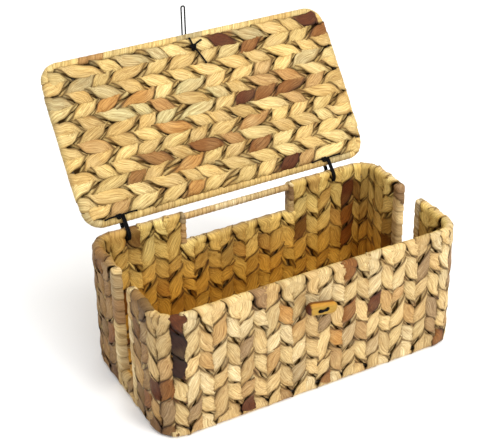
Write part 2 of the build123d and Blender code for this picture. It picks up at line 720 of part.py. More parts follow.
pieces = {
    "base_ring_wire": base_ring_wire,
    "floor_cross_wires": floor_cross_wires,
    "front_rim_wire": front_rim_wire,
    "rear_rim_wire": rear_rim_wire,
    "front_wall_wires": front_wall_wires,
    "rear_wall_wires": rear_wall_wires,
    "slot_post_wires": slot_post_wires,
    "slot_sill_wires": slot_sill_wires,
    "window_post_wires": window_post_wires,
    "window_sill_wire": window_sill_wire,
    "front_weave": front_weave,
    "front_left_corner_weave": front_left_corner_weave,
    "front_right_corner_weave": front_right_corner_weave,
    "back_right_corner_weave": back_right_corner_weave,
    "back_left_corner_weave": back_left_corner_weave,
    "left_front_weave": left_front_weave,
    "left_rear_weave": left_rear_weave,
    "right_front_weave": right_front_weave,
    "right_rear_weave": right_rear_weave,
    "left_slot_sill_weave": left_slot_sill_weave,
    "right_slot_sill_weave": right_slot_sill_weave,
    "back_left_weave": back_left_weave,
    "back_centre_weave": back_centre_weave,
    "back_right_weave": back_right_weave,
    "floor_weave": floor_weave,
    "left_front_post_wrap": left_front_post_wrap,
    "left_rear_post_wrap": left_rear_post_wrap,
    "right_front_post_wrap": right_front_post_wrap,
    "right_rear_post_wrap": right_rear_post_wrap,
    "window_wrap_left": window_wrap_left,
    "window_wrap_right": window_wrap_right,
    "window_rim_wrap": window_rim_wrap,
    "lid_ring_wire": lid_ring_wire,
    "lid_cross_wires": lid_cross_wires,
    "lid_weave": lid_weave,
    "lid_front_wrap": lid_front_wrap,
    "lid_rear_wrap": lid_rear_wrap,
    "hinge_tie_left": hinge_tie_left,
    "hinge_tie_right": hinge_tie_right,
    "tie_knot_left": tie_knot_left,
    "tie_knot_right": tie_knot_right,
    "closing_loop": closing_loop,
    "loop_knot": loop_knot,
    "toggle": toggle,
    "toggle_thread": toggle_thread,
    "toggle_anchor": toggle_anchor,
}
for piece_name, piece in pieces.items():
    piece.part.label = piece_name
    export_step(piece.part, f"parts/{piece_name}.step")
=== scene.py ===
"""Woven cable box with an open, tied-on lid: strands, wraps, cords, materials, light and camera.

Lengths are in millimetres until a mesh or curve is made, in the frame of the CAD model:
+Z up, origin on the table under the middle of the box, front towards -Y.
"""

import math

import bpy
import numpy as np
from mathutils import Matrix, Vector


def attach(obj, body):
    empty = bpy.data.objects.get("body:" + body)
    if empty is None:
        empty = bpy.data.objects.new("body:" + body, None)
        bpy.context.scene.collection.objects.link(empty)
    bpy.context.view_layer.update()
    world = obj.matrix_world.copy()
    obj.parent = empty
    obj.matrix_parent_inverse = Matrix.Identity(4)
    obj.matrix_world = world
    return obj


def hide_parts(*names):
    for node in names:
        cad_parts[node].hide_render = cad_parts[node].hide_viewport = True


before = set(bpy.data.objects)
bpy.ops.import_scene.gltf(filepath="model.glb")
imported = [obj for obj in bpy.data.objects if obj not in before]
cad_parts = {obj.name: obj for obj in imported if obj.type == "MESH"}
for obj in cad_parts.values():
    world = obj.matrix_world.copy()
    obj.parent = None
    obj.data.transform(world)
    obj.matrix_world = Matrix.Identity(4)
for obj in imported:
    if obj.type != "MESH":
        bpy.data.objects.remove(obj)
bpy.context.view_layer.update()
MM = 0.001
X, Y, Z = np.eye(3)

# Sizes that the solids have too. An edge is where a field of rows ends beside an opening.
HALF_ROPE = 5.5
WALL_X, WALL_Y = 159.5, 78.5
CORNER_X, CORNER_Y = 139.0, 58.0
CORNER_WALL_RADIUS = 20.5
BASE_WIRE, RIM_WIRE = 5.5, 130.5
SLOT_SILL_WIRE, WINDOW_SILL_WIRE = 14.5, 97.5
CORNER_ROW_WIDTH = 13.6
POST_EDGE, SILL_EDGE = 24.3, 13.7
WINDOW_EDGE, CENTRE_EDGE, WINDOW_RIM_EDGE = 66.3, 66.0, 60.0
BODY_HEIGHT = 136.0
HINGE_Y, HINGE_Z = 88.0, 142.0
LID_SPAN = 161.0
LID_WIRE_X = 156.5
LID_WRAP_RADIUS, LID_WRAP_GAP = 4.0, 0.05
LID_BEND = 16.0
LOOP_X = 1.5
TOGGLE_X, TOGGLE_HEIGHT = -2.0, 102.0
THREAD_HALF = 4.0
OPEN_ANGLE = math.radians(127)
LID_UP = np.array([0.0, -math.cos(OPEN_ANGLE), math.sin(OPEN_ANGLE)])
LID_OUT = np.array([0.0, -math.sin(OPEN_ANGLE), -math.cos(OPEN_ANGLE)])


def lid_point(x, up, out):
    """A point of the open lid: along the hinge, up from it, and out of the inner face."""
    return np.array([x, HINGE_Y, HINGE_Z]) + LID_UP * up + LID_OUT * out


def new_object(name, data):
    """A new object in the scene."""
    made = bpy.data.objects.new(name, data)
    bpy.context.scene.collection.objects.link(made)
    return made


# ------------------------------ camera and light


def make_camera():
    azimuth, elevation, roll = (math.radians(a) for a in (-28.3, 30.9, -0.9))
    distance, focal_pixels, frame_pixels = 1189.0, 1249.0, 500.0
    target = Vector((-26.9, 0, 157.3))
    back = Vector((math.sin(azimuth) * math.cos(elevation),
                   -math.cos(azimuth) * math.cos(elevation), math.sin(elevation)))
    right = Vector((math.cos(azimuth), math.sin(azimuth), 0))
    up = back.cross(right)
    turned_right = right * math.cos(roll) + up * math.sin(roll)
    turned_up = up * math.cos(roll) - right * math.sin(roll)
    data = bpy.data.cameras.new("camera")
    data.sensor_width = 36.0
    data.lens = focal_pixels / frame_pixels * data.sensor_width
    camera = new_object("camera", data)
    place = Matrix((turned_right, turned_up, back)).transposed().to_4x4()
    place.translation = (target + back * distance) * MM
    camera.matrix_world = place
    bpy.context.scene.camera = camera


def make_light(name, place, target, size, energy, colour):
    data = bpy.data.lights.new(name, "AREA")
    data.size = size
    data.energy = energy
    data.color = colour
    light = new_object(name, data)
    light.location = place
    aim = Vector(target) - Vector(place)
    light.rotation_euler = aim.to_track_quat("-Z", "Y").to_euler()


make_camera()
make_light("key", (0.7, -1.7, 1.3), (0, 0, 0.1), size=1.1, energy=34, colour=(1.0, 0.99, 0.97))
make_light("top", (0.2, -0.2, 2.0), (0, 0, 0.05), size=1.6, energy=22, colour=(1.0, 0.995, 0.98))

world = bpy.data.worlds.new("studio")
world.use_nodes = True
world.node_tree.nodes["Background"].inputs["Color"].default_value = (1, 1, 1, 1)
world.node_tree.nodes["Background"].inputs["Strength"].default_value = 0.9
bpy.context.scene.world = world
bpy.context.scene.view_settings.view_transform = "Standard"

# ------------------------------ materials


def srgb(colour):
    """Linear values of a colour given as it looks on a screen."""
    c = np.array(colour, float)
    return np.where(c <= 0.04045, c / 12.92, ((c + 0.055) / 1.055) ** 2.4)


def add_node(tree, kind, **settings):
    node = tree.nodes.new(kind)
    for name, value in settings.items():
        setattr(node, name, value)
    return node


def new_material(name):
    material = bpy.data.materials.new(name)
    material.use_nodes = True
    tree = material.node_tree
    return material, tree, tree.nodes["Principled BSDF"]


def noise(tree, vector, scale, detail=3.0, roughness=0.55):
    node = add_node(tree, "ShaderNodeTexNoise")
    tree.links.new(vector, node.inputs["Vector"])
    node.inputs["Scale"].default_value = scale
    node.inputs["Detail"].default_value = detail
    node.inputs["Roughness"].default_value = roughness
    return node.outputs["Fac"]


def stretched(tree, vector, scale):
    node = add_node(tree, "ShaderNodeMapping")
    tree.links.new(vector, node.inputs["Vector"])
    node.inputs["Scale"].default_value = scale
    return node.outputs["Vector"]


def remap(tree, value, low, high, to_low, to_high):
    node = add_node(tree, "ShaderNodeMapRange")
    tree.links.new(value, node.inputs["Value"])
    for name, number in zip(("From Min", "From Max", "To Min", "To Max"),
                            (low, high, to_low, to_high)):
        node.inputs[name].default_value = number
    return node.outputs["Result"]


def mix_colour(tree, factor, first, second, blend="MIX"):
    node = add_node(tree, "ShaderNodeMix", data_type="RGBA", blend_type=blend)
    factor_in, first_in, second_in = node.inputs[0], node.inputs[6], node.inputs[7]
    for socket, value in ((factor_in, factor), (first_in, first), (second_in, second)):
        if isinstance(value, bpy.types.NodeSocket):
            tree.links.new(value, socket)
        elif isinstance(value, (int, float)):
            socket.default_value = value
        else:
            socket.default_value = (*value, 1)
    return node.outputs[2]


def maths(tree, operation, first, second=0.0):
    node = add_node(tree, "ShaderNodeMath", operation=operation)
    for socket, value in zip(node.inputs, (first, second)):
        if isinstance(value, bpy.types.NodeSocket):
            tree.links.new(value, socket)
        else:
            socket.default_value = value
    return node.outputs[0]


def bump(tree, height, strength, distance, shader):
    node = add_node(tree, "ShaderNodeBump")
    tree.links.new(height, node.inputs["Height"])
    node.inputs["Strength"].default_value = strength
    node.inputs["Distance"].default_value = distance
    tree.links.new(node.outputs["Normal"], shader.inputs["Normal"])


def leaf_material(name):
    """Dried leaf: tinted by the mesh, whose tint carries painted shade as well as the leaf's
    colour, streaked and ridged along its own length.
    """
    material, tree, shader = new_material(name)
    tint = add_node(tree, "ShaderNodeAttribute", attribute_name="tint").outputs["Color"]
    fibre = add_node(tree, "ShaderNodeAttribute", attribute_name="fibre").outputs["Vector"]
    ridges = noise(tree, stretched(tree, fibre, (0.035, 1.0, 1.0)), 1.1, 4.0, 0.6)
    fine = noise(tree, stretched(tree, fibre, (0.05, 3.0, 3.0)), 1.3, 3.0, 0.6)
    blotch = noise(tree, stretched(tree, fibre, (0.06, 0.22, 0.22)), 1.0, 3.0)
    flecks = noise(tree, stretched(tree, fibre, (0.12, 1.4, 1.4)), 1.0, 2.0)
    streak = mix_colour(tree, remap(tree, ridges, 0.34, 0.64, 0.0, 1.0),
                        (0.60, 0.53, 0.44), (1.06, 1.08, 1.1))
    colour = mix_colour(tree, remap(tree, blotch, 0.4, 0.7, 0.0, 0.5), tint,
                        mix_colour(tree, 1.0, tint, (0.95, 0.86, 0.68), "MULTIPLY"))
    colour = mix_colour(tree, 1.0, colour, streak, "MULTIPLY")
    colour = mix_colour(tree, remap(tree, fine, 0.38, 0.56, 0.75, 0.0), colour,
                        mix_colour(tree, 1.0, colour, (0.50, 0.38, 0.27), "MULTIPLY"))
    colour = mix_colour(tree, remap(tree, flecks, 0.62, 0.72, 0.0, 0.65), colour,
                        mix_colour(tree, 1.0, colour, (0.50, 0.33, 0.20), "MULTIPLY"))
    tree.links.new(colour, shader.inputs["Base Color"])
    tree.links.new(remap(tree, fine, 0.3, 0.7, 0.72, 0.5), shader.inputs["Roughness"])
    shader.inputs["Specular IOR Level"].default_value = 0.2
    height = maths(tree, "ADD", ridges, maths(tree, "MULTIPLY", fine, 0.35))
    bump(tree, height, 0.75, 0.0011, shader)
    return material


def cord_material(name):
    """Waxed black cotton cord."""
    material, tree, shader = new_material(name)
    fibre = add_node(tree, "ShaderNodeAttribute", attribute_name="fibre").outputs["Vector"]
    fuzz = noise(tree, stretched(tree, fibre, (0.8, 2.5, 2.5)), 1.5, 3.0)
    tree.links.new(mix_colour(tree, fuzz, (0.002, 0.002, 0.002), (0.009, 0.008, 0.008)),
                   shader.inputs["Base Color"])
    tree.links.new(remap(tree, fuzz, 0.3, 0.7, 0.75, 0.5), shader.inputs["Roughness"])
    shader.inputs["Specular IOR Level"].default_value = 0.04
    bump(tree, fuzz, 0.5, 0.0004, shader)
    return material


def loop_material(name):
    """The same cord for the free loop, which has no mesh attributes."""
    material, tree, shader = new_material(name)
    place = add_node(tree, "ShaderNodeTexCoord").outputs["Object"]
    twist = add_node(tree, "ShaderNodeTexWave", wave_type="BANDS", bands_direction="DIAGONAL")
    tree.links.new(place, twist.inputs["Vector"])
    twist.inputs["Scale"].default_value = 260
    twist.inputs["Distortion"].default_value = 1.5
    lay = twist.outputs["Fac"]
    tree.links.new(mix_colour(tree, lay, (0.001, 0.001, 0.001), (0.004, 0.004, 0.004)),
                   shader.inputs["Base Color"])
    tree.links.new(remap(tree, lay, 0, 1, 0.8, 0.6), shader.inputs["Roughness"])
    shader.inputs["Specular IOR Level"].default_value = 0.0
    bump(tree, lay, 0.6, 0.0004, shader)
    return material


def wire_material(name):
    """Dark drawn steel, a little rough."""
    material, tree, shader = new_material(name)
    place = add_node(tree, "ShaderNodeTexCoord").outputs["Object"]
    grain = noise(tree, place, 300, 3.0)
    tree.links.new(mix_colour(tree, grain, (0.035, 0.026, 0.018), (0.10, 0.075, 0.05)),
                   shader.inputs["Base Color"])
    tree.links.new(remap(tree, grain, 0.3, 0.7, 0.65, 0.4), shader.inputs["Roughness"])
    shader.inputs["Metallic"].default_value = 0.6
    bump(tree, grain, 0.3, 0.0003, shader)
    return material


def wood_material(name):
    """Turned light wood with grain along X, a dark left end and ridge, and painted shade in the
    holes.
    """
    material, tree, shader = new_material(name)
    place = add_node(tree, "ShaderNodeTexCoord").outputs["Object"]
    grain = noise(tree, stretched(tree, place, (60, 900, 900)), 1.0, 4.0, 0.6)
    pores = noise(tree, stretched(tree, place, (200, 2600, 2600)), 1.0, 2.0)
    split = add_node(tree, "ShaderNodeSeparateXYZ")
    tree.links.new(place, split.inputs[0])
    x, y, z = split.outputs

    def op(operation, first, second=0.0):
        return maths(tree, operation, first, second)

    end = remap(tree, op("ADD", x, op("MULTIPLY", grain, 0.003)), -0.0126, -0.0142, 0.0, 1.0)
    tilted = op("ADD", z, op("MULTIPLY", x, 0.21))
    top = remap(tree, tilted, 0.1050, 0.1068, 0.0, 1.0)
    ridge = op("MULTIPLY", top, remap(tree, y, -0.0926, -0.0916, 0.0, 0.9))
    # Painted shade inside the two holes for the thread
    beside = op("SUBTRACT", op("ABSOLUTE", op("SUBTRACT", x, TOGGLE_X * MM)), THREAD_HALF * MM)
    above = op("SUBTRACT", z, TOGGLE_HEIGHT * MM)
    apart = op("SQRT", op("ADD", op("MULTIPLY", beside, beside), op("MULTIPLY", above, above)))
    hole_shade = remap(tree, apart, 0.0023, 0.0020, 0.0, 1.0)

    colour = mix_colour(tree, grain, srgb((0.48, 0.33, 0.08)), srgb((0.71, 0.57, 0.22)))
    for part, tone in ((remap(tree, pores, 0.55, 0.7, 0.0, 0.6), srgb((0.45, 0.27, 0.12))),
                       (op("MULTIPLY", top, 0.4), srgb((0.70, 0.45, 0.14))),
                       (ridge, srgb((0.36, 0.20, 0.08))),
                       (end, srgb((0.27, 0.12, 0.06))),
                       (hole_shade, (0.006, 0.004, 0.003))):
        colour = mix_colour(tree, part, colour, tone)
    tree.links.new(colour, shader.inputs["Base Color"])
    tree.links.new(remap(tree, grain, 0.3, 0.7, 0.5, 0.36), shader.inputs["Roughness"])
    shader.inputs["Specular IOR Level"].default_value = 0.15
    shader.inputs["Coat Weight"].default_value = 0.04
    bump(tree, grain, 0.3, 0.0004, shader)
    return material


def floor_material(name):
    """Nearly white, plain and matt."""
    material, tree, shader = new_material(name)
    place = add_node(tree, "ShaderNodeTexCoord").outputs["Object"]
    mottle = noise(tree, place, 3.0)
    tree.links.new(mix_colour(tree, mottle, (0.93, 0.93, 0.93), (0.96, 0.96, 0.955)),
                   shader.inputs["Base Color"])
    shader.inputs["Roughness"].default_value = 0.9
    return material


LEAF = leaf_material("dried_leaf")
STRIP = leaf_material("leaf_strip")
CORD = cord_material("black_cord")
LOOP = loop_material("black_loop_cord")
WIRE = wire_material("dark_wire")
WOOD = wood_material("toggle_wood")

# Straw tones of the leaf, and how often each turns up
TONES = srgb([(0.95, 0.87, 0.68), (0.92, 0.82, 0.60), (0.89, 0.78, 0.56), (0.85, 0.73, 0.51),
              (0.79, 0.70, 0.53), (0.80, 0.66, 0.45), (0.68, 0.55, 0.39), (0.52, 0.38, 0.22)])
TONE_WEIGHTS = np.array([0.26, 0.26, 0.20, 0.13, 0.06, 0.04, 0.03, 0.02])
LID_TONES = srgb([(0.96, 0.87, 0.61), (0.94, 0.83, 0.55), (0.92, 0.80, 0.53), (0.88, 0.75, 0.48),
                  (0.82, 0.75, 0.55), (0.84, 0.69, 0.45), (0.78, 0.61, 0.38), (0.62, 0.45, 0.25)])
NAMED_TONES = {
    "dark": srgb((0.38, 0.20, 0.08)),
    "brown": srgb((0.56, 0.37, 0.18)),
    "orange": srgb((0.78, 0.59, 0.33)),
    "rust": srgb((0.78, 0.64, 0.42)),
    "grey": srgb((0.64, 0.54, 0.40)),
    "green": srgb((0.84, 0.79, 0.58)),
    "black": srgb((0.20, 0.10, 0.05)),
}
# Leaves of an odd colour as (row, half turn, tone). Half turns are counted from the top of a wall
# and from the right end of the lid. A name that ends in _in is the inner face of the weave.
ODD_LEAVES = {
    "front_weave": (
        (14, 2, "dark"), (12, 2, "brown"), (11, 3, "orange"), (6, 0, "rust"), (7, 1, "orange"),
        (2, 1, "rust"), (1, 2, "rust"), (18, 1, "grey"), (19, 3, "grey"), (4, 2, "grey"),
        (17, 3, "rust"), (4, 5, "dark"), (12, 0, "brown"), (0, 4, "grey"), (15, 2, "rust"),
        (6, 3, "rust"), (10, 2, "grey"), (10, 5, "brown"), (8, 2, "rust")),
    "front_left_corner_weave": (
        (2, 0, "dark"), (2, 1, "black"), (2, 2, "black"), (0, 3, "dark"), (0, 4, "rust"),
        (1, 3, "brown"), (1, 4, "grey")),
    "front_left_corner_weave_in": (
        (2, 0, "dark"), (2, 1, "black"), (2, 2, "black"), (2, 3, "brown")),
    "front_right_corner_weave": ((0, 5, "brown"), (1, 2, "grey")),
    "left_rear_weave": ((0, 3, "brown"),),
    "left_front_weave": ((0, 4, "brown"), (1, 3, "rust")),
    "lid_weave": (
        (11, 4, "dark"), (10, 3, "brown"), (11, 0, "dark"), (10, 0, "brown"), (6, 4, "dark"),
        (6, 3, "brown"), (6, 2, "brown"), (8, 3, "rust"), (7, 3, "rust"), (2, 4, "brown"),
        (0, 3, "dark"), (3, 6, "brown"), (8, 9, "orange"), (8, 8, "orange"), (7, 9, "green"),
        (7, 8, "green"), (6, 7, "green"), (6, 6, "green"), (0, 7, "orange"), (2, 7, "orange"),
        (5, 7, "orange"), (7, 5, "green"), (8, 6, "green"), (6, 1, "rust"), (5, 2, "rust")),
    "back_right_weave_in": ((4, 1, "dark"), (4, 2, "brown"), (4, 3, "brown"), (2, 1, "rust")),
}
ACCENTS = {(weave, row, step): name
           for weave, leaves in ODD_LEAVES.items() for row, step, name in leaves}


def leaf_tones(rng, count, tones=TONES):
    picks = tones[rng.choice(len(tones), size=count, p=TONE_WEIGHTS)]
    return picks * rng.uniform(0.76, 1.02, (count, 1))


# ------------------------------ mesh building


def unit(vectors):
    return vectors / np.linalg.norm(vectors, axis=-1, keepdims=True)


def smooth(value, low, high):
    t = np.clip((value - low) / (high - low), 0, 1)
    return t * t * (3 - 2 * t)


class Piece:
    """One object made of closed tubes, with the tint and fibre direction of every point."""

    def __init__(self):
        self.points, self.tints, self.fibres, self.quads, self.fans = [], [], [], [], []
        self.count = 0

    def tube(self, rings, tints, fibres, closed):
        """rings, tints and fibres are (rings, points, 3). An open tube gets a cap on each end.

        The faces are turned over where the tube's volume comes out negative.
        """
        rows, columns = rings.shape[:2]
        index = self.count + np.arange(rows * columns).reshape(rows, columns)
        if closed:
            here, there = index, np.roll(index, -1, 0)
        else:
            here, there = index[:-1], index[1:]
        quads = np.stack([here, there, np.roll(there, -1, 1), np.roll(here, -1, 1)], -1)
        quads = quads.reshape(-1, 4)
        flat = rings.reshape(-1, 3)
        a, b, c, d = (flat[quads[:, k] - self.count] for k in range(4))
        volume = (a * np.cross(b, c)).sum() + (a * np.cross(c, d)).sum()
        flip = volume < 0
        self.quads.append(quads[:, ::-1] if flip else quads)
        self._store(flat, tints.reshape(-1, 3), fibres.reshape(-1, 3))
        if closed:
            return
        for ring, end, turned in ((index[0], 0, not flip), (index[-1], -1, flip)):
            centre = self.count
            self._store(*(values[end].mean(0)[None] for values in (rings, tints, fibres)))
            near, far = (ring, np.roll(ring, -1)) if turned else (np.roll(ring, -1), ring)
            self.fans.append(np.stack([far, near, np.full(columns, centre)], -1))

    def _store(self, points, tints, fibres):
        self.points.append(points)
        self.tints.append(tints)
        self.fibres.append(fibres)
        self.count += len(points)

    def build(self, name, body, slot, material, *nodes):
        """Makes the object, sets it on its body and lets it stand for the CAD nodes."""
        points = np.concatenate(self.points) * MM
        quads = np.concatenate(self.quads)
        fans = np.concatenate(self.fans) if self.fans else np.zeros((0, 3), int)
        mesh = bpy.data.meshes.new(name)
        mesh.vertices.add(len(points))
        mesh.vertices.foreach_set("co", points.astype(np.float32).ravel())
        corners = np.concatenate([quads.ravel(), fans.ravel()])
        mesh.loops.add(len(corners))
        mesh.loops.foreach_set("vertex_index", corners.astype(np.int32))
        starts = np.concatenate([np.arange(len(quads)) * 4,
                                 len(quads) * 4 + np.arange(len(fans)) * 3])
        mesh.polygons.add(len(starts))
        mesh.polygons.foreach_set("loop_start", starts.astype(np.int32))
        mesh.polygons.foreach_set("use_smooth", np.ones(len(starts), bool))
        mesh.update(calc_edges=True)
        tint = mesh.attributes.new("tint", "FLOAT_COLOR", "POINT")
        tints = np.concatenate(self.tints)
        tint.data.foreach_set("color", np.c_[tints, np.ones(len(tints))].astype(np.float32).ravel())
        fibre = mesh.attributes.new("fibre", "FLOAT_VECTOR", "POINT")
        fibre.data.foreach_set("vector", np.concatenate(self.fibres).astype(np.float32).ravel())
        mesh.materials.append(material)
        piece = new_object(name, mesh)
        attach(piece, body)
        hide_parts(*nodes)


def wobble(rng, u, size, most):
    """A smooth random curve of less than most waves that meets itself at u = 1."""
    total = np.zeros_like(u)
    for _ in range(4):
        total += np.sin(2 * math.pi * (rng.integers(2, most) * u + rng.random()))
    return total * size / 2


# Mesh of a strand: rings for each half turn and for each fold, and points round a ring
HALF_TURN_STEPS, ARC_STEPS, SIDES = 9, 6, 16
# Line of a strand: how far it stands off the wires, its sway sideways as a share of the row's
# width, its lean at the fold, how uneven the half turns are, how far the row strays, how much
# fuller its full face is, and how near the folds and by how much it wanders less
STRAND_REACH = 3.6
SWAY_SHARE = 0.35
FOLD_LEAN = 1.4
TURN_SHIFT = 0.09
DRIFT = 0.35
FULL_FACE = 2.3
CALM_REACH, CALM_SHARE = 4.0, 0.85
# Section of a strand: half sizes where it lies flat and where it turns over, and how round it is
BROAD_SHARE, BROAD_LOSS = 0.61, 0.12
SIDE_DEPTH = 4.1
FLAT_THICKNESS = 1.95
LEAST_CROSSING, CROSSING_MARGIN = 3.7, 0.3
PLATEAU = 0.8
FLATNESS = 0.8
FULLNESS = 0.9
UNDERSIDE_SHARE = 0.85
# Level past which a strand is drawn in, by how much at the faces and at the ends, and the least
# height over the table
FACE_LEVEL, FACE_HOLD, END_HOLD = 5.0, 0.65, 0.5
TABLE_GAP = 0.05
# Painted shade deep in the row and at a strand's edges; where a strand is stained and where it is
# browned; the power on each colour channel that turns painted shade browner; and the plain leaf
PAINTED_CREASE_SHADE, CREASE_LOW, CREASE_HIGH = 0.10, 2.0, 4.5
PAINTED_EDGE_SHADE, EDGE_SHARPNESS = 0.86, 8
STAIN_LEAST = 0.45
PAINTED_SHADE_POWER = np.array([0.95, 1.1, 1.4])
OLD_LEAF = np.array([0.86, 0.74, 0.54])
PLAIN_LEAF = srgb((0.86, 0.76, 0.54))
# Keeps the streaks of one strand unlike those of the next
FIBRE_SPREAD = 40.0
# The straight strand between the twisted ones; its colour is darkened with painted shade, as it
# lies deep in the row
CORE_HALF_WIDE, CORE_HALF_THICK, CORE_INSET = 3.6, 1.2, 2
CORE_STEPS, CORE_SIDES = 6, 8
CORE_PAINTED_SHADE = np.array([0.50, 0.42, 0.29])


def half_turn_tints(outer, inner, turned_by, turns, arc):
    """Tint of each ring of the folded strand: a colour for each half turn and each fold."""
    base = np.minimum(np.floor(turned_by).astype(int), turns - 1)
    blend = smooth(turned_by - base, 0.44, 0.56)[:, None]
    even = (np.arange(turns + 1) % 2 == 0)[:, None]
    first, second = np.where(even, outer, inner), np.where(even, inner, outer)
    first_tint = first[base] * (1 - blend) + first[base + 1] * blend
    second_tint = second[base] * (1 - blend) + second[base + 1] * blend
    low_tint, high_tint = (np.repeat(first[end][None], arc, 0) for end in (turns, 0))
    return np.concatenate([first_tint, low_tint, second_tint[::-1], high_tint])


def drawn_in(rings, origin, along, out, low, high):
    """The rings, drawn part of the way back where they pass the row's faces and ends.

    What would be under the table is lifted just over it.
    """
    proud, reached = (rings - origin) @ out, (rings - origin) @ along
    past_face = proud - np.clip(proud, -FACE_LEVEL, FACE_LEVEL)
    past_end = reached - np.clip(reached, low - FACE_LEVEL, high + FACE_LEVEL)
    rings = rings - (FACE_HOLD * past_face)[..., None] * out
    rings = rings - (END_HOLD * past_end)[..., None] * along
    rings[..., 2] = np.maximum(rings[..., 2], TABLE_GAP)
    return rings


def core_strand(piece, origin, along, across, out, low, high, turns, label):
    """A straight strand on the row's middle line, which closes the chinks."""
    s = np.linspace(low + CORE_INSET, high - CORE_INSET, CORE_STEPS * turns)[:, None]
    angle = np.arange(CORE_SIDES) / CORE_SIDES * 2 * math.pi
    section = (CORE_HALF_WIDE * np.cos(angle)[:, None] * across
               + CORE_HALF_THICK * np.sin(angle)[:, None] * out)
    rings = (origin + s * along)[:, None] + section[None]
    fibres = np.stack([s + label + 0 * angle, 3 * np.cos(angle) + 0 * s, np.sin(angle) + 0 * s], -1)
    # Plain leaf darkened with painted shade
    piece.tube(rings, np.broadcast_to(PLAIN_LEAF * CORE_PAINTED_SHADE, rings.shape), fibres, closed=False)


